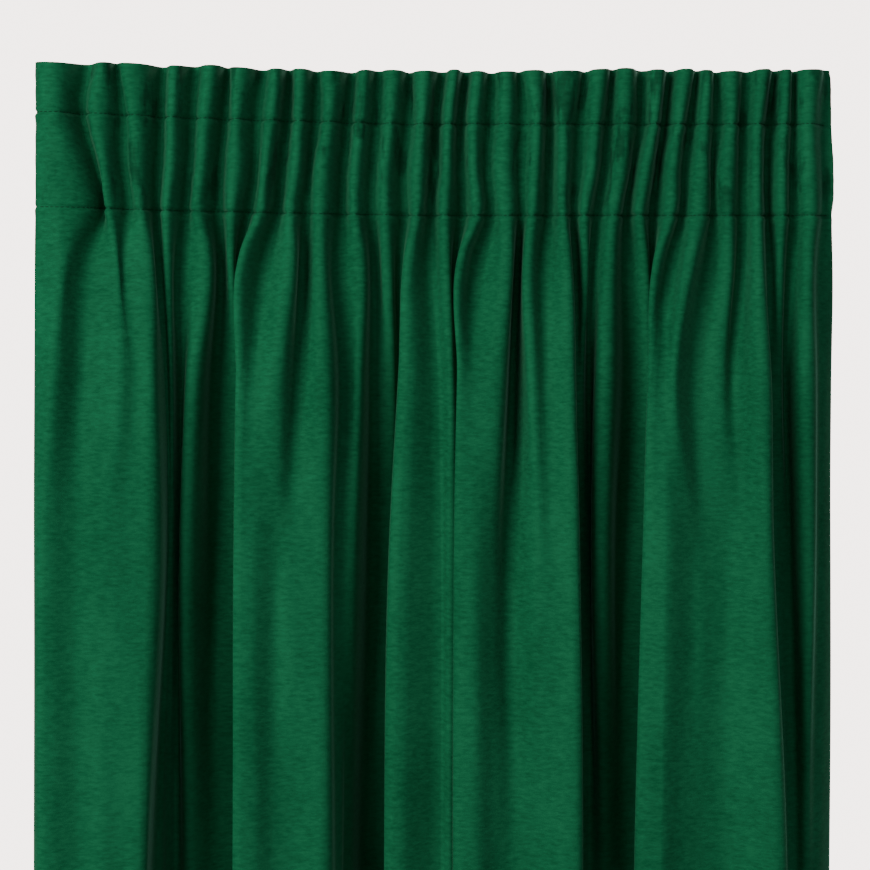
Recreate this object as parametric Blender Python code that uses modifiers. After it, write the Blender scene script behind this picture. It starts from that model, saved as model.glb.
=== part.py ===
"""A gathered velvet curtain panel, hanging.

It is one cut of velvet. Its side edges and its foot are hemmed, and its top is turned over
to the back and sewn down in two rows, which leaves a frill above a flat pocket. Gathered to
about half its width, it stands in twenty-six small pleats at the heading, which run
together lower down into five broad folds with deep hollows between them.

Metres, +Z up. The origin is the middle of the top edge, where the panel is held. The front
faces -Y, and X runs along the heading.
"""

from collections import namedtuple

import bpy
import numpy as np

NAME = "velvet_panel"
MM = 0.001

# ---- driving dimensions, in metres -------------------------------------------------------

DROP = 2.134  # finished length, from the frill's edge to the foot
FLAT_WIDTH = 1.400  # finished width laid flat; the same cloth hangs in the folds at any depth
UPPER_ROW = 0.045  # from the frill's edge down to the first row of sewing
POCKET = 0.076  # from the first row of sewing to the second
LOWER_ROW = UPPER_ROW + POCKET
FOOT_HEM = 0.095  # height of the hem along the foot
SIDE_HEM = 0.025  # width of the hem along each side

CLOTH = 0.0020  # thickness of one layer, pile included
TURNED_CLOTH = 0.0030  # thickness where the cloth is doubled in a hem or the heading

SAMPLES_PER_PLEAT = 6  # points of the solid across one pleat

# ---- the heading -------------------------------------------------------------------------
# One row for each pleat, left to right, in millimetres: where its crest stands across the
# panel at the frill's edge, at the first row of sewing, half-way down the pocket and at the
# second row; how broad the crest is at each of the four; how far it stands out; and how far
# out the cloth between it and the next pleat lies.

Heading = namedtuple(
    "Heading",
    "frill upper pocket lower frill_broad upper_broad pocket_broad lower_broad out gap",
)
HEADING = [
    Heading(*row)
    for row in (
        (-307, -305, -297, -292, 25, 28, 37, 47, 10, -12),
        (-266, -270, -266, -262, 10, 21, 13, 8, 11, -5),
        (-243, -240, -240, -237, 25, 18, 15, 8, 11, -11),
        (-211, -213, -214, -217, 10, 12, 12, 12, 12, -10),
        (-182, -187, -190, -193, 15, 14, 13, 13, 10, -12),
        (-159, -162, -163, -166, 18, 11, 17, 10, 12, -9),
        (-130, -134, -139, -143, 11, 11, 9, 10, 11, -12),
        (-110, -112, -114, -119, 15, 11, 13, 11, 10, -9),
        (-85, -87, -92, -94, 19, 13, 17, 15, 12, -12),
        (-58, -62, -65, -66, 12, 11, 11, 11, 11, -9),
        (-34, -37, -41, -41, 17, 12, 11, 12, 10, -11),
        (-9, -11, -14, -15, 18, 11, 14, 8, 12, -13),
        (16, 11, 10, 8, 10, 10, 11, 12, 10, -13),
        (36, 32, 32, 34, 13, 12, 12, 9, 12, -8),
        (59, 59, 57, 60, 16, 14, 18, 15, 11, -7),
        (82, 85, 83, 81, 19, 11, 13, 12, 10, -13),
        (110, 107, 106, 106, 23, 14, 12, 9, 12, -8),
        (137, 133, 130, 124, 18, 13, 11, 8, 11, -10),
        (159, 157, 154, 148, 17, 16, 16, 14, 11, -12),
        (185, 182, 175, 170, 15, 9, 14, 11, 12, -13),
        (208, 202, 197, 195, 17, 13, 14, 14, 11, -10),
        (226, 224, 221, 219, 11, 12, 16, 18, 10, -9),
        (246, 246, 243, 243, 17, 12, 17, 14, 11, -8),
        (273, 268, 267, 268, 16, 12, 12, 12, 12, -12),
        (292, 290, 288, 288, 11, 12, 12, 12, 10, -9),
        (312, 310, 311, 312, 21, 15, 17, 16, 11, -12),
    )
]

HEADING_PLACES = 4
PLEAT_LEAN = 0.55  # how far on from one crest's edge to the next the cloth between them lies
PLEAT_ROUNDING = 0.0022  # how far inside a crest's edges its cloth turns
NARROWEST_CREST = 0.0040  # half of the narrowest crest, which its doubled cloth can turn round

# ---- the hanging folds -------------------------------------------------------------------
# One row for each pleat, in millimetres, at four depths below the frill's edge. Each group
# is the crest's place across the panel, how far it stands out, and the same for the hollow
# on its right. A pleat that stands out about 30 is on the face of a broad fold; one at
# about -25 is tucked away behind the fold next to it.

HANGING_DEPTHS = (0.150, 0.258, 0.375, 0.637)
Fold = namedtuple("Fold", "crest crest_out hollow hollow_out")
HANGING = [
    [Fold(*group) for group in row]
    for row in (
        ((-294, 15, -276, -3), (-303, 28, -283, 12), (-308, 33, -284, 26), (-308, 35, -283, 30)),
        ((-257, 14, -252, 5), (-251, 28, -240, 25), (-259, 31, -248, 31), (-262, 34, -248, 33)),
        ((-232, 16, -226, -6), (-226, 31, -219, -4), (-225, 33, -219, -18), (-232, 34, -229, -22)),
        ((-217, 8, -209, -13), (-215, 0, -209, -18), (-216, -18, -211, -27), (-221, -36, -216, -42)),
        ((-187, 9, -177, -19), (-197, 6, -182, -34), (-203, 0, -184, -44), (-204, -28, -186, -42)),
        ((-167, 3, -160, -12), (-163, -22, -154, -32), (-163, -41, -152, -42), (-166, -46, -154, -46)),
        ((-155, 19, -138, -9), (-160, 30, -147, 24), (-162, 35, -148, 37), (-162, 37, -147, 38)),
        ((-117, 19, -109, -12), (-127, 32, -112, 10), (-130, 31, -116, 29), (-130, 31, -114, 29)),
        ((-94, 15, -81, -11), (-89, 28, -75, -5), (-90, 32, -80, 7), (-90, 33, -79, 8)),
        ((-62, 7, -51, -19), (-63, 5, -52, -31), (-66, 5, -55, -39), (-73, -11, -58, -44)),
        ((-40, 3, -29, -16), (-37, -26, -29, -36), (-38, -42, -30, -43), (-42, -46, -33, -46)),
        ((-21, 17, -4, -11), (-25, 30, 2, 11), (-31, 34, 4, 15), (-36, 36, 4, 18)),
        ((9, 9, 18, -12), (13, 20, 21, 12), (13, 23, 23, 17), (12, 23, 24, 17)),
        ((23, 20, 37, -8), (19, 33, 33, 28), (17, 35, 31, 38), (15, 38, 31, 40)),
        ((61, 17, 70, -15), (54, 29, 65, -14), (48, 29, 62, 4), (50, 29, 67, 22)),
        ((77, 17, 92, -5), (79, 28, 93, 17), (84, 29, 97, 27), (84, 25, 101, 33)),
        ((109, 17, 117, -13), (112, 30, 118, -13), (115, 34, 119, -24), (118, 36, 121, -30)),
        ((125, 4, 132, -15), (124, -14, 131, -27), (126, -31, 132, -35), (127, -38, 133, -42)),
        ((146, 9, 161, -21), (142, 4, 164, -38), (138, -2, 160, -45), (144, -32, 160, -44)),
        ((174, 1, 183, -18), (181, -26, 188, -34), (180, -42, 188, -42), (175, -46, 184, -46)),
        ((185, 19, 199, -4), (175, 31, 188, 27), (171, 35, 187, 38), (164, 37, 183, 39)),
        ((213, 20, 230, -10), (196, 33, 216, 8), (206, 28, 222, 19), (203, 28, 220, 20)),
        ((244, 9, 256, -12), (235, 11, 249, 2), (240, 16, 254, 20), (238, 16, 254, 21)),
        ((268, 17, 280, -12), (271, 29, 280, -14), (274, 32, 284, -24), (283, 34, 294, -28)),
        ((288, 1, 299, -17), (289, -14, 296, -28), (294, -32, 301, -37), (302, -39, 308, -41)),
        ((311, 7, 325, -20), (310, 2, 326, -33), (313, -8, 327, -43), (316, -34, 328, -45)),
    )
]

# The heading line itself: it curves forward towards the left end.
HEADING_LINE_ACROSS = (-0.345, -0.300, -0.250, -0.210, -0.160, -0.110, -0.052, -0.020, 0.350)
HEADING_LINE_OUT = (0.070, 0.067, 0.052, 0.038, 0.027, 0.018, 0.006, 0.001, 0.000)

CRISPNESS = 0.4  # how closely the cloth follows the tables: 0 rounds the folds off most

# Towards the foot the folds drift across in slow waves and ease a little.
FOOT_DRIFT = 0.007
FOOT_DRIFT_LENGTH = 0.060
FOOT_EASE = 0.10

# The two side edges, in millimetres: place across and out, at the four heading levels and
# then at the four hanging depths.
Edge = namedtuple("Edge", "across out")
LEFT_EDGE = [
    Edge(*place)
    for place in (
        (-322, -9), (-321, -3), (-320, 2), (-320, 2),
        (-320, 5), (-319, 13), (-318, 20), (-317, 24),
    )
]
RIGHT_EDGE = [
    Edge(*place)
    for place in (
        (333, -17), (333, -14), (333, -10), (333, -12),
        (336, -30), (339, -52), (341, -62), (342, -66),
    )
]

# Depths at which the solid has a row of points.
ROWS = (
    (0.0, 0.022, UPPER_ROW, 0.083, LOWER_ROW)
    + (0.150, 0.200, 0.258, 0.375, 0.637, 0.95, 1.3, 1.7)
    + (DROP - FOOT_HEM, DROP)
)


def table_levels():
    """Depths below the frill's edge, and the control points of the cloth's line at each."""
    depths = [0.0, UPPER_ROW, 0.5 * (UPPER_ROW + LOWER_ROW), LOWER_ROW]
    lines = [heading_controls(level) for level in range(len(depths))]
    for level, depth in enumerate(HANGING_DEPTHS):
        depths.append(depth)
        lines.append(hanging_controls(level))
    depths += [1.3, DROP]
    lines += [swayed(lines[-1], 0.5), swayed(lines[-1], 1.0)]
    return np.array(depths), np.array(lines)


def swayed(controls, share):
    """The folds lower down, where they have drifted a little across and eased open."""
    swayed_controls = []
    for across, out in controls:
        drift = FOOT_DRIFT * np.sin(across / FOOT_DRIFT_LENGTH + 0.6)
        swayed_controls.append((across + share * drift, out * (1 - share * FOOT_EASE)))
    return swayed_controls


def paired(places, level, most):
    """Two control points for each crest and each hollow, at most so much of the room apart."""
    left, right = (
        (edge.across * MM, edge.out * MM) for edge in (LEFT_EDGE[level], RIGHT_EDGE[level])
    )
    middles = [left] + [place[:2] for place in places] + [right]
    points = [left, left]
    for index, (across, out, half) in enumerate(places):
        room = min(
            np.hypot(across - beside[0], out - beside[1])
            for beside in (middles[index], middles[index + 2])
        )
        half = min(half, most * room)
        before, after = middles[index], middles[index + 2]
        # A crest or a hollow that is only a step on a slope leans with it.
        lean = 0.0
        if (out - before[1]) * (after[1] - out) > 0:
            lean = np.clip((after[1] - before[1]) / (after[0] - before[0]), -0.7, 0.7)
        points.append((across - half, out - lean * half))
        points.append((across + half, out + lean * half))
    return points + [right, right]


def heading_controls(level):
    crests = [row[level] * MM for row in HEADING] + [RIGHT_EDGE[level].across * MM]
    halves = [0.5 * row[level + HEADING_PLACES] * MM for row in HEADING] + [0.0]
    places = []
    for pleat, row in enumerate(HEADING):
        edge = crests[pleat] + halves[pleat]
        room = crests[pleat + 1] - halves[pleat + 1] - edge
        half = max(halves[pleat] - PLEAT_ROUNDING, NARROWEST_CREST)
        places.append((crests[pleat], row.out * MM, half))
        places.append((edge + PLEAT_LEAN * room, row.gap * MM, min(0.003, 0.3 * room)))
    return paired(places, level, 0.45)


def hanging_controls(level):
    places = []
    breadth = 0.005 if level == 0 else 0.010
    for row in HANGING:
        fold = row[level]
        places.append((fold.crest * MM, fold.crest_out * MM, breadth))
        places.append((fold.hollow * MM, fold.hollow_out * MM, 0.004))
    return paired(places, level + HEADING_PLACES, 0.25)


def controls_at(depth, depths, lines):
    """The control points at any depth, on smooth curves through the table's levels."""
    if depth >= depths[-1]:
        return lines[-1]
    index = int(np.searchsorted(depths, depth, side="right")) - 1
    slopes = np.gradient(lines, depths, axis=0)
    span = depths[index + 1] - depths[index]
    t = (depth - depths[index]) / span
    return (
        (2 * t**3 - 3 * t**2 + 1) * lines[index]
        + (t**3 - 2 * t**2 + t) * span * slopes[index]
        + (3 * t**2 - 2 * t**3) * lines[index + 1]
        + (t**3 - t**2) * span * slopes[index + 1]
    )


def b_spline(controls, steps):
    """A smooth line near its control points, with so many steps between each two of them."""
    controls = np.array(controls)
    inner = (controls[:-2] + 4 * controls[1:-1] + controls[2:]) / 6
    controls[1:-1] += CRISPNESS * (controls[1:-1] - inner)
    ends = np.vstack([2 * controls[0] - controls[1], controls, 2 * controls[-1] - controls[-2]])
    t = np.arange(steps)[:, None, None] / steps
    a, b, c, d = (ends[i : len(ends) - 3 + i][None] for i in range(4))
    line = (
        (1 - t) ** 3 * a
        + (3 * t**3 - 6 * t**2 + 4) * b
        + (-3 * t**3 + 3 * t**2 + 3 * t + 1) * c
        + t**3 * d
    ) / 6
    line = line.transpose(1, 0, 2).reshape(-1, 2)
    return np.vstack([line, controls[-1]])


def evenly_spaced(line, count):
    """The line again, in so many steps of one length."""
    lengths = np.concatenate([[0], np.cumsum(np.hypot(*np.diff(line, axis=0).T))])
    at = np.linspace(0, lengths[-1], count + 1)
    return np.column_stack([np.interp(at, lengths, line[:, axis]) for axis in (0, 1)])


def holding_the_cloth(line):
    """The line made a little shallower or deeper, so that it holds the panel's flat width."""
    across, out = np.diff(line, axis=0).T
    share = 1.0
    for _ in range(4):
        lengths = np.hypot(across, share * out)
        share += (FLAT_WIDTH - lengths.sum()) / (share * out**2 / lengths).sum()
    return line * (1.0, share)


def cloth_line(depth, depths, lines):
    """The cloth's line across the panel at one depth, the same number of steps to a pleat."""
    fine_steps = 8
    fine = holding_the_cloth(b_spline(controls_at(depth, depths, lines), fine_steps))
    # A pleat runs from the middle of one hollow to the middle of the next.
    hollows = [0]
    for pleat in range(len(HEADING)):
        hollows.append((4 * pleat + 4) * fine_steps + fine_steps // 2)
    pleats = []
    for first, last in zip(hollows, hollows[1:]):
        pleats.append(evenly_spaced(fine[first : last + 1], SAMPLES_PER_PLEAT)[:-1])
    pleats.append(evenly_spaced(fine[hollows[-1] :], SAMPLES_PER_PLEAT // 2))
    line = np.vstack(pleats)
    line[:, 1] += np.interp(line[:, 0], HEADING_LINE_ACROSS, HEADING_LINE_OUT)
    return line


def sheet_mesh():
    """The panel's front surface: a grid that follows the folds."""
    depths, lines = table_levels()
    rows = [cloth_line(depth, depths, lines) for depth in ROWS]
    points = [
        (across, -out, -depth) for depth, line in zip(ROWS, rows) for across, out in line
    ]
    wide = len(rows[0])
    faces = []
    for row in range(len(ROWS) - 1):
        for column in range(wide - 1):
            corner = row * wide + column
            faces.append((corner, corner + wide, corner + wide + 1, corner + 1))
    mesh = bpy.data.meshes.new(NAME)
    mesh.from_pydata(points, [], faces)
    mesh.update()
    return mesh, wide


def velvet():
    material = bpy.data.materials.new("velvet")
    material.use_nodes = True
    shader = material.node_tree.nodes["Principled BSDF"]
    shader.inputs["Base Color"].default_value = (0.004, 0.100, 0.038, 1.0)
    shader.inputs["Roughness"].default_value = 0.75
    shader.inputs["Metallic"].default_value = 0.0
    shader.inputs["Sheen Weight"].default_value = 0.1
    return material


def velvet_panel(collection):
    mesh, wide = sheet_mesh()
    panel = bpy.data.objects.new(NAME, mesh)
    collection.objects.link(panel)
    mesh.materials.append(velvet())
    for face in mesh.polygons:
        face.use_smooth = True

    hem_columns = round(SIDE_HEM / (FLAT_WIDTH / (wide - 1)))
    turned = panel.vertex_groups.new(name="turned cloth")
    for index, vertex in enumerate(mesh.vertices):
        depth = -vertex.co.z
        from_side = min(index % wide, wide - 1 - index % wide)
        doubled = (
            depth <= LOWER_ROW + MM or depth >= DROP - FOOT_HEM - MM or from_side <= hem_columns
        )
        turned.add([index], 1.0 if doubled else 0.0, "REPLACE")

    shell = panel.modifiers.new("thickness", "SOLIDIFY")
    shell.thickness = TURNED_CLOTH
    shell.offset = -1.0
    shell.vertex_group = turned.name
    shell.thickness_vertex_group = CLOTH / TURNED_CLOTH
    return panel


def main():
    for old in list(bpy.data.objects):
        bpy.data.objects.remove(old, do_unlink=True)
    collection = bpy.data.collections.new("gathered_velvet_curtain_panel")
    bpy.context.scene.collection.children.link(collection)
    velvet_panel(collection)


main()
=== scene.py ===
"""The looks of a gathered velvet curtain panel: its cloth in its folds, the sewing across its
heading and along its hems, the velvet, a plain floor and soft studio light.

Metres. The panel hangs towards -Z from the middle of its top edge at the origin, and its
front faces -Y.
"""

from collections import namedtuple

import bpy
import numpy as np
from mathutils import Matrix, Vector


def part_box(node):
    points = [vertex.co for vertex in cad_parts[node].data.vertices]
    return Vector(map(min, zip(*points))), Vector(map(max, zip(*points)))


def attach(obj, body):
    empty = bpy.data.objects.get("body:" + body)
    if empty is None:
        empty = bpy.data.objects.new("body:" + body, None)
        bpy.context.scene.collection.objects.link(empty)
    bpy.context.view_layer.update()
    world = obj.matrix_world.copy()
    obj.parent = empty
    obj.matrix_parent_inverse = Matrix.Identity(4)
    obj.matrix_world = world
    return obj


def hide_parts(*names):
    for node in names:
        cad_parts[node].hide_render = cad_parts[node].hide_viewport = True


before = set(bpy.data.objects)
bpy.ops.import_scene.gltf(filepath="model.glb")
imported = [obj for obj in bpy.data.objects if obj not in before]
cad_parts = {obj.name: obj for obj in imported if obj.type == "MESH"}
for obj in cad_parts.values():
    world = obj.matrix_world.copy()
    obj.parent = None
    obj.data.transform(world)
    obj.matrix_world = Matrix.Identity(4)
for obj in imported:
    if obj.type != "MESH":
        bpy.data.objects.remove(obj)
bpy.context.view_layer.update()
panel_low, panel_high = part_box("velvet_panel")

MM = 0.001

# ---- sizes -------------------------------------------------------------------------------

DROP = round(panel_high.z - panel_low.z, 3)  # from the frill's edge to the foot
FLAT_WIDTH = 1.40  # the panel laid flat, side hems sewn
TURNED_TOP = 0.130  # cloth turned over to the back for the frill and the pocket
FOOT_HEM = 0.095
SIDE_HEM = 0.025

UPPER_ROW = 0.045  # from the frill's edge down to the first row of sewing
LOWER_ROW = 0.121  # and to the second
HEM_ROW = DROP - FOOT_HEM + 0.004  # and to the foot hem's

CLOTH = 0.0016  # thickness of one layer of velvet
TURNED_CLOTH = 0.0030  # thickness where it is doubled
TURNING_STEP = 0.0014  # how far the thickness takes to change at a turning's edge
SIDE_HEM_STEP = 0.006  # and at a side hem's
FOLD_CLOSING = 0.8  # how far the two faces close at a folded edge, which stays a narrow strip

# ---- the heading -------------------------------------------------------------------------
# One row for each pleat, left to right, in millimetres: where its crest stands across the
# panel at the frill's edge, at the first row of sewing, half-way down the pocket and at the
# second row; how broad the crest is at each of the four; how far it stands out; and how far
# out the cloth between it and the next pleat lies.

Heading = namedtuple(
    "Heading",
    "frill upper pocket lower frill_broad upper_broad pocket_broad lower_broad out gap",
)
HEADING = [
    Heading(*row)
    for row in (
        (-307, -305, -297, -292, 25, 28, 37, 47, 10, -12),
        (-266, -270, -266, -262, 10, 21, 13, 8, 11, -5),
        (-243, -240, -240, -237, 25, 18, 15, 8, 11, -11),
        (-211, -213, -214, -217, 10, 12, 12, 12, 12, -10),
        (-182, -187, -190, -193, 15, 14, 13, 13, 10, -12),
        (-159, -162, -163, -166, 18, 11, 17, 10, 12, -9),
        (-130, -134, -139, -143, 11, 11, 9, 10, 11, -12),
        (-110, -112, -114, -119, 15, 11, 13, 11, 10, -9),
        (-85, -87, -92, -94, 19, 13, 17, 15, 12, -12),
        (-58, -62, -65, -66, 12, 11, 11, 11, 11, -9),
        (-34, -37, -41, -41, 17, 12, 11, 12, 10, -11),
        (-9, -11, -14, -15, 18, 11, 14, 8, 12, -13),
        (16, 11, 10, 8, 10, 10, 11, 12, 10, -13),
        (36, 32, 32, 34, 13, 12, 12, 9, 12, -8),
        (59, 59, 57, 60, 16, 14, 18, 15, 11, -7),
        (82, 85, 83, 81, 19, 11, 13, 12, 10, -13),
        (110, 107, 106, 106, 23, 14, 12, 9, 12, -8),
        (137, 133, 130, 124, 18, 13, 11, 8, 11, -10),
        (159, 157, 154, 148, 17, 16, 16, 14, 11, -12),
        (185, 182, 175, 170, 15, 9, 14, 11, 12, -13),
        (208, 202, 197, 195, 17, 13, 14, 14, 11, -10),
        (226, 224, 221, 219, 11, 12, 16, 18, 10, -9),
        (246, 246, 243, 243, 17, 12, 17, 14, 11, -8),
        (273, 268, 267, 268, 16, 12, 12, 12, 12, -12),
        (292, 290, 288, 288, 11, 12, 12, 12, 10, -9),
        (312, 310, 311, 312, 21, 15, 17, 16, 11, -12),
    )
]

HEADING_PLACES = 4  # down the heading, at each of which the table gives a place and a breadth
PLEAT_LEAN = 0.55  # how far on from one crest's edge to the next the cloth between them lies
PLEAT_ROUNDING = 0.0022  # how far inside a crest's edges its cloth turns
NARROWEST_CREST = 0.0040  # half of the narrowest crest, which its doubled cloth can turn round
GAP_HALF = 0.003  # half of the breadth of the cloth that lies between two pleats
GAP_SHARE = 0.3  # and the most of the room there that this half takes
HEADING_SHARE = 0.45  # the most of the room to its neighbours that half a crest takes

# ---- the hanging folds -------------------------------------------------------------------
# One row for each pleat, in millimetres, at four depths below the frill's edge. Each group
# is the crest's place across the panel, how far it stands out, and the same for the hollow
# on its right. A pleat that stands out about 30 is on the face of a broad fold; one at
# about -25 is tucked away behind the fold next to it.

HANGING_DEPTHS = (0.150, 0.258, 0.375, 0.637)
Fold = namedtuple("Fold", "crest crest_out hollow hollow_out")
HANGING = [
    [Fold(*group) for group in row]
    for row in (
        ((-294, 15, -276, -3), (-303, 28, -283, 12),
         (-308, 33, -284, 26), (-308, 35, -283, 30)),
        ((-257, 14, -252, 5), (-251, 28, -240, 25),
         (-259, 31, -248, 31), (-262, 34, -248, 33)),
        ((-232, 16, -226, -6), (-226, 31, -219, -4),
         (-225, 33, -219, -18), (-232, 34, -229, -22)),
        ((-217, 8, -209, -13), (-215, 0, -209, -18),
         (-216, -18, -211, -27), (-221, -36, -216, -42)),
        ((-187, 9, -177, -19), (-197, 6, -182, -34),
         (-203, 0, -184, -44), (-204, -28, -186, -42)),
        ((-167, 3, -160, -12), (-163, -22, -154, -32),
         (-163, -41, -152, -42), (-166, -46, -154, -46)),
        ((-155, 19, -138, -9), (-160, 30, -147, 24),
         (-162, 35, -148, 37), (-162, 37, -147, 38)),
        ((-117, 19, -109, -12), (-127, 32, -112, 10),
         (-130, 31, -116, 29), (-130, 31, -114, 29)),
        ((-94, 15, -81, -11), (-89, 28, -75, -5),
         (-90, 32, -80, 7), (-90, 33, -79, 8)),
        ((-62, 7, -51, -19), (-63, 5, -52, -31),
         (-66, 5, -55, -39), (-73, -11, -58, -44)),
        ((-40, 3, -29, -16), (-37, -26, -29, -36),
         (-38, -42, -30, -43), (-42, -46, -33, -46)),
        ((-21, 17, -4, -11), (-25, 30, 2, 11),
         (-31, 34, 4, 15), (-36, 36, 4, 18)),
        ((9, 9, 18, -12), (13, 20, 21, 12),
         (13, 23, 23, 17), (12, 23, 24, 17)),
        ((23, 20, 37, -8), (19, 33, 33, 28),
         (17, 35, 31, 38), (15, 38, 31, 40)),
        ((61, 17, 70, -15), (54, 29, 65, -14),
         (48, 29, 62, 4), (50, 29, 67, 22)),
        ((77, 17, 92, -5), (79, 28, 93, 17),
         (84, 29, 97, 27), (84, 25, 101, 33)),
        ((109, 17, 117, -13), (112, 30, 118, -13),
         (115, 34, 119, -24), (118, 36, 121, -30)),
        ((125, 4, 132, -15), (124, -14, 131, -27),
         (126, -31, 132, -35), (127, -38, 133, -42)),
        ((146, 9, 161, -21), (142, 4, 164, -38),
         (138, -2, 160, -45), (144, -32, 160, -44)),
        ((174, 1, 183, -18), (181, -26, 188, -34),
         (180, -42, 188, -42), (175, -46, 184, -46)),
        ((185, 19, 199, -4), (175, 31, 188, 27),
         (171, 35, 187, 38), (164, 37, 183, 39)),
        ((213, 20, 230, -10), (196, 33, 216, 8),
         (206, 28, 222, 19), (203, 28, 220, 20)),
        ((244, 9, 256, -12), (235, 11, 249, 2),
         (240, 16, 254, 20), (238, 16, 254, 21)),
        ((268, 17, 280, -12), (271, 29, 280, -14),
         (274, 32, 284, -24), (283, 34, 294, -28)),
        ((288, 1, 299, -17), (289, -14, 296, -28),
         (294, -32, 301, -37), (302, -39, 308, -41)),
        ((311, 7, 325, -20), (310, 2, 326, -33),
         (313, -8, 327, -43), (316, -34, 328, -45)),
    )
]

GATHERED_CREST_HALF = 0.005  # half of a crest's breadth just below the heading
CREST_HALF = 0.010  # and further down
HOLLOW_HALF = 0.004
HANGING_SHARE = 0.25  # the most of the room to its neighbours that half a crest takes
STEEPEST_LEAN = 0.7  # of a crest or a hollow that is only a step on a slope

# The two side edges, in millimetres: place across and out, at the four heading places and
# then at the four hanging depths.
Edge = namedtuple("Edge", "across out")
LEFT_EDGE = [
    Edge(*place)
    for place in (
        (-322, -9), (-321, -3), (-320, 2), (-320, 2),
        (-320, 5), (-319, 13), (-318, 20), (-317, 24),
    )
]
RIGHT_EDGE = [
    Edge(*place)
    for place in (
        (333, -17), (333, -14), (333, -10), (333, -12),
        (336, -30), (339, -52), (341, -62), (342, -66),
    )
]

# The heading line itself: it curves forward towards the left end.
HEADING_LINE_ACROSS = (-0.345, -0.300, -0.250, -0.210, -0.160, -0.110, -0.052, -0.020, 0.350)
HEADING_LINE_OUT = (0.070, 0.067, 0.052, 0.038, 0.027, 0.018, 0.006, 0.001, 0.000)

CRISPNESS = 0.4  # how closely the cloth follows the tables: 0 rounds the folds off most

# Towards the foot the folds drift across in slow waves and ease a little.
HALF_DRIFTED = 1.3  # the depth where they have drifted and eased half as far
FOOT_DRIFT = 0.007
FOOT_DRIFT_LENGTH = 0.060
FOOT_DRIFT_START = 0.6
FOOT_EASE = 0.10

FRILL_FALL = 0.0042  # how much lower the frill's edge is at the left end
FALL_START = 0.15  # from here the edge falls towards the left,
FALL_RUN = 0.45  # over this length
EDGE_WAVE = 0.0007  # the height of the waves along the frill's edge

HOLLOW_LIFT = 0.08  # how far a hollow of the heading is drawn up, for each metre it lies back
LIFT_END = 0.22  # the depth where it is no longer drawn up,
LIFT_RUN = 0.10  # and over how much of the depth above that this comes in

# A row of sewing draws the cloth in, in a groove with a low ridge below it and puckers.
DRAWN_IN = ((UPPER_ROW, 0.0013), (LOWER_ROW, 0.0013), (HEM_ROW, 0.0006))
GROOVE_HALF = 0.0014  # half of the groove's breadth
RIDGE_BELOW = 0.0036  # how far below the row the ridge lies
RIDGE_HALF = 0.0016
RIDGE_SHARE = 0.35  # the ridge's height, for each metre that the row is drawn in
PUCKER_SHARE = 0.3  # and the puckers'
PUCKER_REACH = 0.007  # how far from the row the puckers reach

HUNG_WAVE = 0.00045  # the height of the slight waves of the hanging cloth
HUNG_RUN = 0.15  # they come in over this depth below the heading
LUMP = 0.0004  # the height of the small lumps of the heading
LUMP_RUN = 0.01  # how near to the frill's edge and the first row of sewing they fade out

FADING_PART = 0.2  # how much of a crease fades out at each of its ends
FADING_LENGTH = 0.15  # over how much of its length it does so

# Small creases of the pleats and the hanging folds: from one end to the other, in millimetres
# across the panel and below the frill's edge, how far each stands out of the cloth (a trough
# is negative) and how broad it is.
Crease = namedtuple("Crease", "across depth to_across to_depth rise breadth")
CREASES = [
    Crease(*row)
    for row in (
        (-315, 74, -303, 106, 2.5, 4.0),
        (-293, 22, -286, 48, -2.4, 3.5),
        (-282, 56, -267, 114, 2.2, 3.0),
        (-275, 80, -272, 112, -2.2, 3.5),
        (-261, 58, -250, 100, -2.2, 4.0),
        (-206, 66, -199, 97, 2.0, 3.0),
        (-79, 62, -69, 102, 2.2, 2.6),
        (-53, 54, -46, 84, 1.6, 2.4),
        (-25, 10, -15, 36, -2.0, 3.0),
        (-5, 66, 4, 107, 2.2, 2.6),
        (18, 72, 29, 113, 2.4, 2.6),
        (39, 74, 51, 113, 2.2, 2.8),
        (73, 8, 81, 38, -1.8, 3.0),
        (93, 6, 99, 30, -1.6, 2.6),
        (168, 10, 176, 40, -1.6, 3.0),
        (222, 60, 229, 100, 1.6, 2.6),
        (-242, 276, -239, 311, -1.0, 4.0),
        (-236, 318, -226, 313, -0.9, 4.0),
        (-122, 136, -141, 306, 1.6, 8.0),
        (-110, 146, -116, 300, -1.6, 6.0),
        (56, 130, 46, 330, 1.4, 7.0),
        (64, 160, 56, 300, -1.6, 5.0),
        (216, 128, 186, 240, 2.0, 8.0),
        (207, 140, 180, 214, -1.4, 5.0),
        (30, 148, 30, 154, -2.2, 4.0),
        (-306, 416, -280, 478, -0.8, 4.0),
        (-17, 392, 0, 494, -0.8, 4.5),
        (214, 462, 219, 490, -0.6, 4.0),
    )
]

# ---- the grid of the cloth ---------------------------------------------------------------

COLUMNS_PER_PLEAT = 13
FINE_STEPS = 16  # of the smooth line between two of its control points, before it is spaced out

# Bands of rows down the panel: how far down each ends, and the height of its rows there.
# They are closest at the folded edges, the rows of sewing and where the thickness changes.
BANDS = (
    (0.0016, 0.0004), (0.041, 0.0048), (0.0445, 0.0012), (0.0495, 0.0010), (0.117, 0.0052),
    (0.1205, 0.0012), (0.1255, 0.0010), (0.1294, 0.0040), (0.1306, 0.0006), (0.200, 0.0053),
    (0.420, 0.0088), (0.680, 0.0150), (2.010, 0.0600), (2.0384, 0.0095), (2.0396, 0.0006),
    (2.046, 0.0022), (2.1324, 0.0220), (2.134, 0.0004),
)


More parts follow.
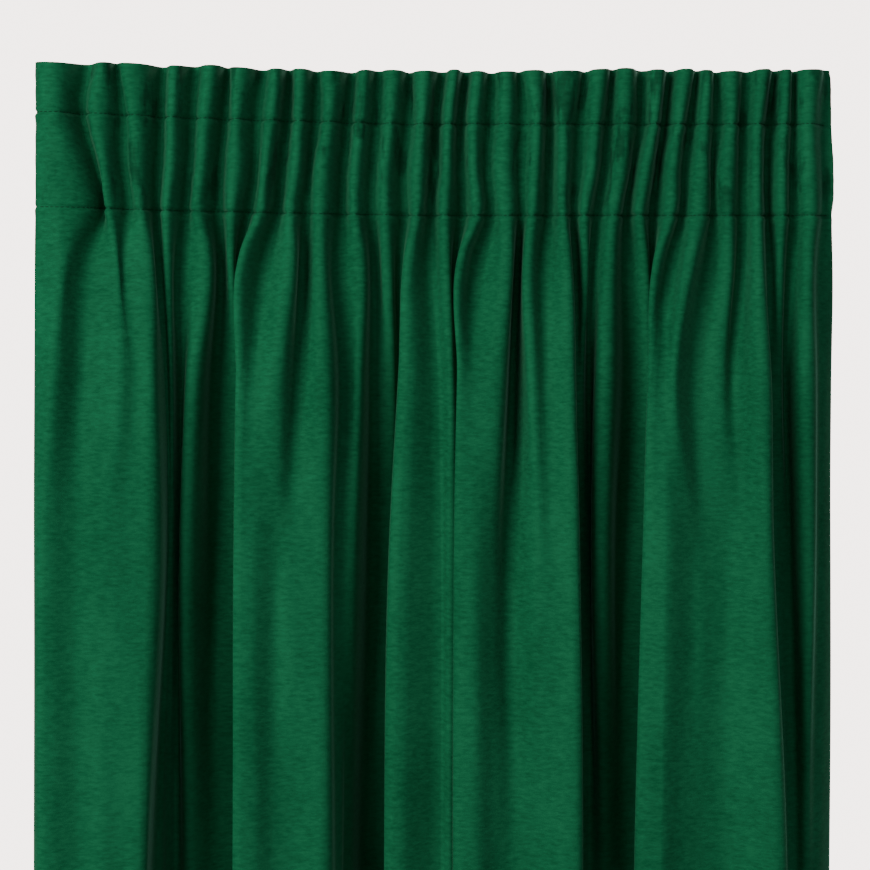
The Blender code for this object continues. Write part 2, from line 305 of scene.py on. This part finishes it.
def table_levels():
    """Depths below the frill's edge, and the control points of the cloth's line at each."""
    depths = [0.0, UPPER_ROW, 0.5 * (UPPER_ROW + LOWER_ROW), LOWER_ROW]
    lines = [heading_controls(level) for level in range(len(depths))]
    for level, depth in enumerate(HANGING_DEPTHS):
        depths.append(depth)
        lines.append(hanging_controls(level))
    depths += [HALF_DRIFTED, DROP]
    lines += [swayed(lines[-1], 0.5), swayed(lines[-1], 1.0)]
    return np.array(depths), np.array(lines)


def swayed(controls, share):
    """The folds lower down, where they have drifted a little across and eased open."""
    swayed_controls = []
    for across, out in controls:
        drift = FOOT_DRIFT * np.sin(across / FOOT_DRIFT_LENGTH + FOOT_DRIFT_START)
        swayed_controls.append((across + share * drift, out * (1 - share * FOOT_EASE)))
    return swayed_controls


def paired(places, level, most):
    """Two control points for each crest and each hollow, at most so much of the room apart."""
    left, right = (
        (edge.across * MM, edge.out * MM) for edge in (LEFT_EDGE[level], RIGHT_EDGE[level])
    )
    middles = [left] + [place[:2] for place in places] + [right]
    points = [left, left]
    for index, (across, out, half) in enumerate(places):
        room = min(
            np.hypot(across - beside[0], out - beside[1])
            for beside in (middles[index], middles[index + 2])
        )
        half = min(half, most * room)
        before, after = middles[index], middles[index + 2]
        # On a slope, a crest or a hollow leans with it.
        lean = 0.0
        if (out - before[1]) * (after[1] - out) > 0:
            lean = (after[1] - before[1]) / (after[0] - before[0])
            lean = np.clip(lean, -STEEPEST_LEAN, STEEPEST_LEAN)
        points.append((across - half, out - lean * half))
        points.append((across + half, out + lean * half))
    return points + [right, right]


def heading_controls(level):
    """The control points at one of the heading's four places."""
    crests = [row[level] * MM for row in HEADING] + [RIGHT_EDGE[level].across * MM]
    halves = [0.5 * row[level + HEADING_PLACES] * MM for row in HEADING] + [0.0]
    places = []
    for pleat, row in enumerate(HEADING):
        edge = crests[pleat] + halves[pleat]
        room = crests[pleat + 1] - halves[pleat + 1] - edge
        half = max(halves[pleat] - PLEAT_ROUNDING, NARROWEST_CREST)
        places.append((crests[pleat], row.out * MM, half))
        gap_half = min(GAP_HALF, GAP_SHARE * room)
        places.append((edge + PLEAT_LEAN * room, row.gap * MM, gap_half))
    return paired(places, level, HEADING_SHARE)


def hanging_controls(level):
    """The control points at one of the four hanging depths."""
    places = []
    crest_half = GATHERED_CREST_HALF if level == 0 else CREST_HALF
    for row in HANGING:
        fold = row[level]
        places.append((fold.crest * MM, fold.crest_out * MM, crest_half))
        places.append((fold.hollow * MM, fold.hollow_out * MM, HOLLOW_HALF))
    return paired(places, level + HEADING_PLACES, HANGING_SHARE)


def controls_at(depth, depths, lines):
    """The control points at any depth, on smooth curves through the table's levels."""
    if depth >= depths[-1]:
        return lines[-1]
    index = int(np.searchsorted(depths, depth, side="right")) - 1
    slopes = np.gradient(lines, depths, axis=0)
    span = depths[index + 1] - depths[index]
    t = (depth - depths[index]) / span
    return (
        (2 * t**3 - 3 * t**2 + 1) * lines[index]
        + (t**3 - 2 * t**2 + t) * span * slopes[index]
        + (3 * t**2 - 2 * t**3) * lines[index + 1]
        + (t**3 - t**2) * span * slopes[index + 1]
    )


def b_spline(controls, steps):
    """A smooth line near its control points, with so many steps between each two of them."""
    controls = np.array(controls)
    inner = (controls[:-2] + 4 * controls[1:-1] + controls[2:]) / 6
    controls[1:-1] += CRISPNESS * (controls[1:-1] - inner)
    ends = np.vstack([2 * controls[0] - controls[1], controls, 2 * controls[-1] - controls[-2]])
    t = np.arange(steps)[:, None, None] / steps
    a, b, c, d = (ends[i : len(ends) - 3 + i][None] for i in range(4))
    line = (
        (1 - t) ** 3 * a
        + (3 * t**3 - 6 * t**2 + 4) * b
        + (-3 * t**3 + 3 * t**2 + 3 * t + 1) * c
        + t**3 * d
    ) / 6
    line = line.transpose(1, 0, 2).reshape(-1, 2)
    return np.vstack([line, controls[-1]])


def evenly_spaced(line, count):
    """The line again, in so many steps of one length."""
    lengths = np.concatenate([[0], np.cumsum(np.hypot(*np.diff(line, axis=0).T))])
    at = np.linspace(0, lengths[-1], count + 1)
    return np.column_stack([np.interp(at, lengths, line[:, axis]) for axis in (0, 1)])


def holding_the_cloth(line):
    """The line made a little shallower or deeper, so that it holds the panel's flat width."""
    across, out = np.diff(line, axis=0).T
    share = 1.0
    # Each time round brings the line's length nearer to the flat width.
    for _ in range(4):
        lengths = np.hypot(across, share * out)
        share += (FLAT_WIDTH - lengths.sum()) / (share * out**2 / lengths).sum()
    return line * (1.0, share)


def cloth_line(depth, depths, lines):
    """The cloth's line across the panel at one depth, the same number of steps to a pleat."""
    fine = holding_the_cloth(b_spline(controls_at(depth, depths, lines), FINE_STEPS))
    # A pleat runs from the middle of one hollow to the middle of the next. It has four
    # control points: two for its crest and two for the hollow after it.
    hollows = [0]
    for pleat in range(1, len(HEADING) + 1):
        hollows.append(4 * pleat * FINE_STEPS + FINE_STEPS // 2)
    pleats = []
    for first, last in zip(hollows, hollows[1:]):
        pleats.append(evenly_spaced(fine[first : last + 1], COLUMNS_PER_PLEAT)[:-1])
    pleats.append(evenly_spaced(fine[hollows[-1] :], COLUMNS_PER_PLEAT // 2))
    line = np.vstack(pleats)
    line[:, 1] += np.interp(line[:, 0], HEADING_LINE_ACROSS, HEADING_LINE_OUT)
    return line


def row_depths():
    """How far each row of the grid lies below the frill's edge."""
    depths = [0.0]
    for end, height in BANDS:
        end = min(end, DROP)
        count = max(1, round((end - depths[-1]) / height))
        depths += list(np.linspace(depths[-1], end, count + 1)[1:])
    return np.array(depths)


def grid_normals(grid):
    """The direction that each point of the grid faces, out of its front."""
    across = np.gradient(grid, axis=1)
    down = np.gradient(grid, axis=0)
    normals = np.cross(down, across)
    return normals / np.linalg.norm(normals, axis=2, keepdims=True)


def front_of_cloth():
    """The panel's front surface as a grid of points, row by row from the frill to the foot."""
    depths, lines = table_levels()
    rows = []
    for depth in row_depths():
        line = cloth_line(depth, depths, lines)
        rows.append(np.column_stack([line[:, 0], -line[:, 1], np.full(len(line), -depth)]))
    return np.array(rows)


def along_cloth(grid):
    """How far along the cloth each point of the grid lies from the left side edge."""
    steps = np.linalg.norm(np.diff(grid, axis=1), axis=2)
    return np.concatenate([np.zeros((len(grid), 1)), np.cumsum(steps, axis=1)], axis=1)


def creased(grid):
    """The cloth with its small creases pressed into the side that faces forward."""
    across, depth = grid[:, :, 0] / MM, -grid[:, :, 2] / MM
    normals = grid_normals(grid)
    facing = np.clip(-normals[:, :, 1], 0.0, 1.0)
    shift = np.zeros(across.shape)
    for crease in CREASES:
        run = np.array((crease.to_across - crease.across, crease.to_depth - crease.depth))
        length = np.hypot(*run)
        run = run / length
        along = (across - crease.across) * run[0] + (depth - crease.depth) * run[1]
        off = (across - crease.across) * run[1] - (depth - crease.depth) * run[0]
        beyond = along - np.clip(along, FADING_PART * length, (1 - FADING_PART) * length)
        tail = FADING_LENGTH * length + crease.breadth
        shift += crease.rise * np.exp(-((off / crease.breadth) ** 2) - (beyond / tail) ** 2)
    return grid + normals * (shift * facing * MM)[:, :, None]


def uneven(grid):
    """The cloth with the slight waviness that velvet hangs with, and the frill's wavy edge."""
    across, depth = grid[:, :, 0], -grid[:, :, 2]
    along = along_cloth(grid)
    normals = grid_normals(grid)
    # Three waves along the cloth, each of its own length in metres, that drift down it.
    waves = (
        np.sin(along / 0.0173 + 3.1 * np.sin(depth / 0.21))
        + 0.7 * np.sin(along / 0.0091 - depth / 0.061 + 1.3)
        + 0.8 * np.sin(along / 0.031 + depth / 0.118 + 0.4)
    )
    hung = np.clip((depth - LOWER_ROW) / HUNG_RUN, 0.0, 1.0)
    shift = HUNG_WAVE * hung * waves
    # Waves both along the cloth and down it make lumps.
    lumps = np.sin(along / 0.0067 + 9.0 * depth / 0.045) * np.sin(depth / 0.0074 + along / 0.021)
    clear = np.clip(np.minimum(depth, abs(depth - UPPER_ROW)) / LUMP_RUN, 0, 1)
    shift += LUMP * (depth < LOWER_ROW) * clear * lumps
    grid = grid + normals * shift[:, :, None]
    # The frill is a little lower towards the left, and its edge waves.
    lower = FRILL_FALL * np.clip((FALL_START - across[0]) / FALL_RUN, 0.0, 1.0)
    lower = lower + EDGE_WAVE * np.sin(along[0] / 0.061 + 0.8)
    lower = lower + EDGE_WAVE * np.sin(along[0] / 0.023)
    grid[:, :, 2] -= lower[None, :] * np.clip(1.0 - depth / UPPER_ROW, 0.0, 1.0)
    return grid


def sewn_rows(grid):
    """The cloth drawn in along the rows of sewing, with small puckers beside them."""
    along = along_cloth(grid)
    depth = -grid[:, :, 2]
    normals = grid_normals(grid)
    shift = np.zeros(depth.shape)
    for number, (row, drawn_in) in enumerate(DRAWN_IN):
        off = depth - row
        shift -= drawn_in * np.exp(-((off / GROOVE_HALF) ** 2))
        ridge = np.exp(-(((off - RIDGE_BELOW) / RIDGE_HALF) ** 2))
        shift += RIDGE_SHARE * drawn_in * ridge
        # The puckers are 26 mm apart or so, closer here and wider there.
        pucker = np.sin(along / 0.0041 + 1.7 * number + 2.0 * np.sin(along / 0.019))
        shift += PUCKER_SHARE * drawn_in * pucker * np.exp(-((off / PUCKER_REACH) ** 2))
    return grid + normals * shift[:, :, None]


def kept_level(grid):
    """The heading held level by its sewing: its hollows ride a little higher than its crests."""
    across, depth = grid[:, :, 0], -grid[:, :, 2]
    out = -grid[:, :, 1] - np.interp(across, HEADING_LINE_ACROSS, HEADING_LINE_OUT)
    held = np.clip((LIFT_END - depth) / LIFT_RUN, 0.0, 1.0)
    grid[:, :, 2] -= HOLLOW_LIFT * held * out
    return grid


def soft_step(past, width):
    """From 0 to 1 as `past` goes from half the width below 0 to half the width above it."""
    t = np.clip(past / width + 0.5, 0.0, 1.0)
    return t * t * (3 - 2 * t)


def cloth_thickness(grid):
    """Thicker where the velvet is doubled: in the heading and along the hems."""
    depth = -grid[:, :, 2]
    along = along_cloth(grid)
    full = along[:, -1:]
    doubled = np.maximum.reduce(
        [
            soft_step(TURNED_TOP - depth, TURNING_STEP),
            soft_step(depth - (DROP - FOOT_HEM), TURNING_STEP),
            soft_step(SIDE_HEM - along, SIDE_HEM_STEP),
            soft_step(along - (full - SIDE_HEM), SIDE_HEM_STEP),
        ]
    )
    return CLOTH + doubled * (TURNED_CLOTH - CLOTH)


def fold_inset(depth, thickness):
    """How far each face draws in beside the folded edges at the top and the foot."""
    radius = thickness / 2
    from_fold = np.clip(np.minimum(depth, DROP - depth), 0.0, radius)
    inset = radius - np.sqrt(radius**2 - (radius - from_fold) ** 2)
    return np.clip(inset, 0.0, FOLD_CLOSING * radius)


def solid_sheet(name, front, thickness, front_velvet, back_velvet):
    """A closed thin sheet with this front and a back that lies behind it."""
    normals = grid_normals(front)
    inset = fold_inset(-front[:, :, 2], thickness)
    back = front - normals * (thickness - inset)[:, :, None]
    front = front - normals * inset[:, :, None]
    high, wide = front.shape[:2]
    points = np.concatenate([front.reshape(-1, 3), back.reshape(-1, 3)])
    index = np.arange(high * wide).reshape(high, wide)
    behind = index + high * wide
    quads = []

    def strip(a, b, c, d):
        quads.append(np.stack([a, b, c, d], axis=-1).reshape(-1, 4))

    strip(behind[:-1, :-1], behind[:-1, 1:], behind[1:, 1:], behind[1:, :-1])
    strip(index[:-1, :-1], index[1:, :-1], index[1:, 1:], index[:-1, 1:])
    strip(index[0, :-1], index[0, 1:], behind[0, 1:], behind[0, :-1])
    strip(index[-1, 1:], index[-1, :-1], behind[-1, :-1], behind[-1, 1:])
    strip(index[1:, 0], index[:-1, 0], behind[:-1, 0], behind[1:, 0])
    strip(index[:-1, -1], index[1:, -1], behind[1:, -1], behind[:-1, -1])
    faces = np.concatenate(quads)
    mesh = bpy.data.meshes.new(name)
    mesh.from_pydata(points.tolist(), [], faces.tolist())
    mesh.update()
    mesh.shade_smooth()
    mesh.materials.append(front_velvet)
    mesh.materials.append(back_velvet)
    # Only the single cloth between the hems shows its back: the heading and hems are turned.
    grounds = np.zeros(len(faces), dtype=np.int32)
    single = thickness[:-1, :-1] < 0.5 * (CLOTH + TURNED_CLOTH)
    grounds[: single.size] = single.reshape(-1)
    mesh.polygons.foreach_set("material_index", grounds)
    piece = bpy.data.objects.new(name, mesh)
    bpy.context.scene.collection.objects.link(piece)
    return piece


# ---- the sewing --------------------------------------------------------------------------

THREAD = 0.00030  # half the thread's thickness
STITCH = 0.0036
STITCH_GAP = 0.0007
STITCH_ARCH = 0.00028  # how far a stitch's middle rises above its ends
STITCH_SINK = 0.00012  # how deep its ends lie in the cloth
STITCH_TAPER = 0.55  # how thick its ends are beside its middle
FIRST_STITCH = 0.004  # from the end of a line to its first stitch
LAST_STITCH = 0.006  # and the least that is left after its last one's start
CAUGHT_IN = 0.003  # how far inside a side hem's inner edge its stitches run
CLEAR_OF_HEADING = 0.004  # how far from the heading and the foot hem they stop


def place_on(grid, depth, side):
    """The line across the panel at one depth, and which way its cloth faces there."""
    depths = -grid[:, :, 2].mean(axis=1)
    row = int(np.clip(np.searchsorted(depths, depth), 1, len(depths) - 1))
    share = (depth - depths[row - 1]) / (depths[row] - depths[row - 1])
    normals = side * grid_normals(grid)
    line = (1 - share) * grid[row - 1] + share * grid[row]
    return line, (1 - share) * normals[row - 1] + share * normals[row]


def down_from(grid, along_at, first, last, side):
    """The line down the panel that keeps one distance along the cloth from a side edge."""
    along = along_cloth(grid)
    normals = side * grid_normals(grid)
    line, facing = [], []
    for row in range(len(grid)):
        if not first <= -grid[row, 0, 2] <= last:
            continue
        at = along_at if along_at > 0 else along[row, -1] + along_at
        line.append([np.interp(at, along[row], grid[row, :, axis]) for axis in range(3)])
        facing.append([np.interp(at, along[row], normals[row, :, axis]) for axis in range(3)])
    return np.array(line), np.array(facing)


def stitched(name, lines, thread):
    """One piece of short separate stitches along each line, their ends sunk in the cloth."""
    points, faces = [], []
    rings, sides = 4, 5
    turns = np.arange(sides) * 2 * np.pi / sides
    for line, facing in lines:
        lengths = np.concatenate([[0], np.cumsum(np.linalg.norm(np.diff(line, axis=0), axis=1))])
        starts = np.arange(FIRST_STITCH, lengths[-1] - LAST_STITCH, STITCH + STITCH_GAP)
        for start in starts:
            at = np.linspace(start, start + STITCH, rings)
            middle = np.column_stack([np.interp(at, lengths, line[:, axis]) for axis in range(3)])
            up = np.column_stack([np.interp(at, lengths, facing[:, axis]) for axis in range(3)])
            up /= np.linalg.norm(up, axis=1, keepdims=True)
            arch = np.sin(np.linspace(0, np.pi, rings))
            middle += up * (STITCH_ARCH * arch - STITCH_SINK)[:, None]
            way = middle[-1] - middle[0]
            way /= np.linalg.norm(way)
            aside = np.cross(way, up)
            first = len(points)
            for ring in range(rings):
                radius = THREAD * (STITCH_TAPER if ring in (0, rings - 1) else 1.0)
                for turn in turns:
                    spoke = np.cos(turn) * up[ring] + np.sin(turn) * aside[ring]
                    points.append(tuple(middle[ring] + radius * spoke))
            for ring in range(rings - 1):
                for side in range(sides):
                    a = first + ring * sides + side
                    b = first + ring * sides + (side + 1) % sides
                    faces.append((a, b, b + sides, a + sides))
            faces.append(tuple(first + side for side in reversed(range(sides))))
            faces.append(tuple(first + (rings - 1) * sides + side for side in range(sides)))
    mesh = bpy.data.meshes.new(name)
    mesh.from_pydata(points, [], faces)
    mesh.update()
    mesh.shade_smooth()
    mesh.materials.append(thread)
    piece = bpy.data.objects.new(name, mesh)
    bpy.context.scene.collection.objects.link(piece)
    return piece


# ---- materials ---------------------------------------------------------------------------

CRUSHED_FADE = 0.03  # how far above and below the second row of sewing the crushed marks fade


def velvet():
    """The front of the velvet: its rippled pile, darker where it is crushed."""
    material = bpy.data.materials.new("velvet")
    material.use_nodes = True
    nodes, links = material.node_tree.nodes, material.node_tree.links
    shader = nodes["Principled BSDF"]
    shader.inputs["Roughness"].default_value = 0.70
    shader.inputs["Specular IOR Level"].default_value = 0.04
    shader.inputs["Specular Tint"].default_value = (0.75, 1.0, 0.88, 1.0)
    shader.inputs["Sheen Weight"].default_value = 0.17
    shader.inputs["Sheen Roughness"].default_value = 0.32
    shader.inputs["Sheen Tint"].default_value = (0.48, 1.0, 0.74, 1.0)

    place = nodes.new("ShaderNodeTexCoord")

    def noise(scale, stretch, detail, rough=0.5):
        turn = nodes.new("ShaderNodeMapping")
        turn.inputs["Scale"].default_value = stretch
        links.new(place.outputs["Object"], turn.inputs["Vector"])
        made = nodes.new("ShaderNodeTexNoise")
        made.inputs["Scale"].default_value = scale
        made.inputs["Detail"].default_value = detail
        made.inputs["Roughness"].default_value = rough
        links.new(turn.outputs["Vector"], made.inputs["Vector"])
        return made

    ripples = noise(330.0, (0.40, 0.40, 1.25), 3.0, 0.62)
    patches = noise(16.0, (1.0, 1.0, 0.5), 4.0)
    pile = noise(1300.0, (1.0, 1.0, 1.6), 2.0)
    bruises = noise(58.0, (1.0, 1.0, 0.40), 3.0, 0.5)

    lie = nodes.new("ShaderNodeMix")
    lie.data_type = "FLOAT"
    lie.inputs["Factor"].default_value = 0.40
    links.new(ripples.outputs["Fac"], lie.inputs["A"])
    links.new(patches.outputs["Fac"], lie.inputs["B"])

    colour = nodes.new("ShaderNodeValToRGB")
    colour.color_ramp.elements[0].position = 0.34
    colour.color_ramp.elements[0].color = (0.0030, 0.069, 0.0255, 1.0)
    colour.color_ramp.elements[1].position = 0.64
    colour.color_ramp.elements[1].color = (0.0098, 0.119, 0.0480, 1.0)
    links.new(lie.outputs["Result"], colour.inputs["Fac"])

    # Here and there in the heading the pile is crushed the other way and looks darker.
    crushed = nodes.new("ShaderNodeMapRange")
    crushed.inputs["From Min"].default_value = 0.565
    crushed.inputs["From Max"].default_value = 0.66
    links.new(bruises.outputs["Fac"], crushed.inputs["Value"])
    height = nodes.new("ShaderNodeSeparateXYZ")
    links.new(place.outputs["Object"], height.inputs["Vector"])
    handled = nodes.new("ShaderNodeMapRange")
    handled.inputs["From Min"].default_value = -LOWER_ROW - CRUSHED_FADE
    handled.inputs["From Max"].default_value = -LOWER_ROW + CRUSHED_FADE
    links.new(height.outputs["Z"], handled.inputs["Value"])
    in_heading = nodes.new("ShaderNodeMath")
    in_heading.operation = "MULTIPLY"
    links.new(crushed.outputs["Result"], in_heading.inputs[0])
    links.new(handled.outputs["Result"], in_heading.inputs[1])
    darker = nodes.new("ShaderNodeMix")
    darker.data_type = "RGBA"
    darker.blend_type = "MULTIPLY"
    darker.inputs["B"].default_value = (0.52, 0.56, 0.56, 1.0)
    links.new(in_heading.outputs["Value"], darker.inputs["Factor"])
    links.new(colour.outputs["Color"], darker.inputs["A"])
    links.new(darker.outputs["Result"], shader.inputs["Base Color"])

    ripple_bump = nodes.new("ShaderNodeBump")
    ripple_bump.inputs["Strength"].default_value = 0.28
    ripple_bump.inputs["Distance"].default_value = 0.0008
    links.new(ripples.outputs["Fac"], ripple_bump.inputs["Height"])
    pile_bump = nodes.new("ShaderNodeBump")
    pile_bump.inputs["Strength"].default_value = 0.35
    pile_bump.inputs["Distance"].default_value = 0.0004
    links.new(pile.outputs["Fac"], pile_bump.inputs["Height"])
    links.new(ripple_bump.outputs["Normal"], pile_bump.inputs["Normal"])
    links.new(pile_bump.outputs["Normal"], shader.inputs["Normal"])
    return material


def ground():
    """The back of the velvet: a duller flat ground of fine knitted ribs."""
    material = bpy.data.materials.new("velvet_back")
    material.use_nodes = True
    nodes, links = material.node_tree.nodes, material.node_tree.links
    shader = nodes["Principled BSDF"]
    shader.inputs["Roughness"].default_value = 0.90
    shader.inputs["Specular IOR Level"].default_value = 0.10
    place = nodes.new("ShaderNodeTexCoord")
    drawn_out = nodes.new("ShaderNodeMapping")
    drawn_out.inputs["Scale"].default_value = (1.0, 1.0, 0.06)
    links.new(place.outputs["Object"], drawn_out.inputs["Vector"])
    ribs = nodes.new("ShaderNodeTexNoise")
    ribs.inputs["Scale"].default_value = 420.0
    ribs.inputs["Detail"].default_value = 2.0
    links.new(drawn_out.outputs["Vector"], ribs.inputs["Vector"])
    clouds = nodes.new("ShaderNodeTexNoise")
    clouds.inputs["Scale"].default_value = 18.0
    clouds.inputs["Detail"].default_value = 4.0
    links.new(place.outputs["Object"], clouds.inputs["Vector"])
    together = nodes.new("ShaderNodeMix")
    together.data_type = "FLOAT"
    together.inputs["Factor"].default_value = 0.4
    links.new(ribs.outputs["Fac"], together.inputs["A"])
    links.new(clouds.outputs["Fac"], together.inputs["B"])
    colour = nodes.new("ShaderNodeValToRGB")
    colour.color_ramp.elements[0].color = (0.004, 0.062, 0.027, 1.0)
    colour.color_ramp.elements[1].color = (0.010, 0.125, 0.058, 1.0)
    links.new(together.outputs["Result"], colour.inputs["Fac"])
    links.new(colour.outputs["Color"], shader.inputs["Base Color"])
    bump = nodes.new("ShaderNodeBump")
    bump.inputs["Strength"].default_value = 0.5
    bump.inputs["Distance"].default_value = 0.0003
    links.new(ribs.outputs["Fac"], bump.inputs["Height"])
    links.new(bump.outputs["Normal"], shader.inputs["Normal"])
    return material


def plain(name, colour, roughness):
    """A surface of one colour with little shine."""
    material = bpy.data.materials.new(name)
    material.use_nodes = True
    shader = material.node_tree.nodes["Principled BSDF"]
    shader.inputs["Specular IOR Level"].default_value = 0.15
    shader.inputs["Base Color"].default_value = colour
    shader.inputs["Roughness"].default_value = roughness
    return material


# ---- stage, light and camera -------------------------------------------------------------

CAMERA_DISTANCE = 1.8
CAMERA_HEIGHT = -0.304  # level with the middle of what it sees
SEEN_WIDTH = 0.725  # how much it sees across, at the heading
SENSOR = 36.0  # millimetres

FLOOR_RADIUS = 3.2
FLOOR_CLEARANCE = 0.012  # the panel hangs this far clear of the floor


def camera():
    """Level, straight in front of the heading."""
    lens = bpy.data.cameras.new("camera")
    lens.sensor_width = SENSOR
    lens.lens = SENSOR * CAMERA_DISTANCE / SEEN_WIDTH
    seen = bpy.data.objects.new("camera", lens)
    seen.location = (0.0, -CAMERA_DISTANCE, CAMERA_HEIGHT)
    seen.rotation_euler = (np.pi / 2, 0.0, 0.0)
    bpy.context.scene.collection.objects.link(seen)
    bpy.context.scene.camera = seen


def soft_box(name, place, aim, size, watts, colour):
    """A broad soft lamp at one place, turned towards another."""
    lamp = bpy.data.lights.new(name, "AREA")
    lamp.shape = "RECTANGLE"
    lamp.size, lamp.size_y = size
    lamp.energy = watts
    lamp.color = colour
    box = bpy.data.objects.new(name, lamp)
    box.location = place
    direction = np.array(aim) - np.array(place)
    box.rotation_euler = Vector(direction).to_track_quat("-Z", "Y").to_euler()
    bpy.context.scene.collection.objects.link(box)


def stage():
    """A pale floor, three lamps, and a pale wall all round that is seen but lights nothing."""
    bpy.ops.mesh.primitive_circle_add(
        vertices=128,
        radius=FLOOR_RADIUS,
        fill_type="NGON",
        location=(0.0, 0.0, panel_low.z - FLOOR_CLEARANCE),
    )
    floor = bpy.context.object
    floor.name = "floor"
    floor.data.materials.append(plain("pale_floor", (0.80, 0.77, 0.74, 1.0), 0.8))

    world = bpy.data.worlds.new("studio")
    bpy.context.scene.world = world
    world.use_nodes = True
    nodes, links = world.node_tree.nodes, world.node_tree.links
    wall = nodes["Background"]
    wall.inputs["Color"].default_value = (1.0, 0.91, 0.86, 1.0)
    wall.inputs["Strength"].default_value = 4.8
    fill = nodes.new("ShaderNodeBackground")
    fill.inputs["Color"].default_value = (0.82, 0.91, 1.0, 1.0)
    fill.inputs["Strength"].default_value = 0.27
    seen = nodes.new("ShaderNodeLightPath")
    mix = nodes.new("ShaderNodeMixShader")
    links.new(seen.outputs["Is Camera Ray"], mix.inputs["Fac"])
    links.new(fill.outputs["Background"], mix.inputs[1])
    links.new(wall.outputs["Background"], mix.inputs[2])
    links.new(mix.outputs["Shader"], nodes["World Output"].inputs["Surface"])

    soft_box("key", (-1.45, -2.05, 0.35), (0.0, 0.0, -0.35), (1.3, 1.4), 74.0, (1.0, 0.99, 0.97))
    soft_box("behind", (1.3, 2.4, 1.9), (0.0, 0.0, -0.9), (1.6, 1.6), 90.0, (1.0, 0.99, 0.97))
    soft_box("fill", (0.7, -2.8, 0.6), (0.0, 0.0, -0.5), (1.6, 1.6), 9.0, (0.96, 0.98, 1.0))


# ---- building it -------------------------------------------------------------------------

camera()
velvet_cloth = velvet()
velvet_back = ground()
sewing_thread = plain("sewing_thread", (0.0017, 0.040, 0.0150, 1.0), 0.8)

front = kept_level(sewn_rows(uneven(creased(front_of_cloth()))))
thickness = cloth_thickness(front)
panel = solid_sheet("velvet_cloth", front, thickness, velvet_cloth, velvet_back)
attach(panel, "root")
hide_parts("velvet_panel")

back = front - grid_normals(front) * thickness[:, :, None]
across = [
    place_on(grid, depth, side)
    for depth in (UPPER_ROW, LOWER_ROW)
    for grid, side in ((front, 1), (back, -1))
]
# The hems are caught down by hand, so their stitches show on the back alone.
across.append(place_on(back, HEM_ROW, -1))
first_depth = TURNED_TOP + CLEAR_OF_HEADING
last_depth = DROP - FOOT_HEM - CLEAR_OF_HEADING
down = [
    down_from(back, at, first_depth, last_depth, -1)
    for at in (SIDE_HEM - CAUGHT_IN, CAUGHT_IN - SIDE_HEM)
]
sewing = [
    stitched("stitches_across", across, sewing_thread),
    stitched("side_hem_stitches", down, sewing_thread),
]
for row in sewing:
    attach(row, "root")

stage()
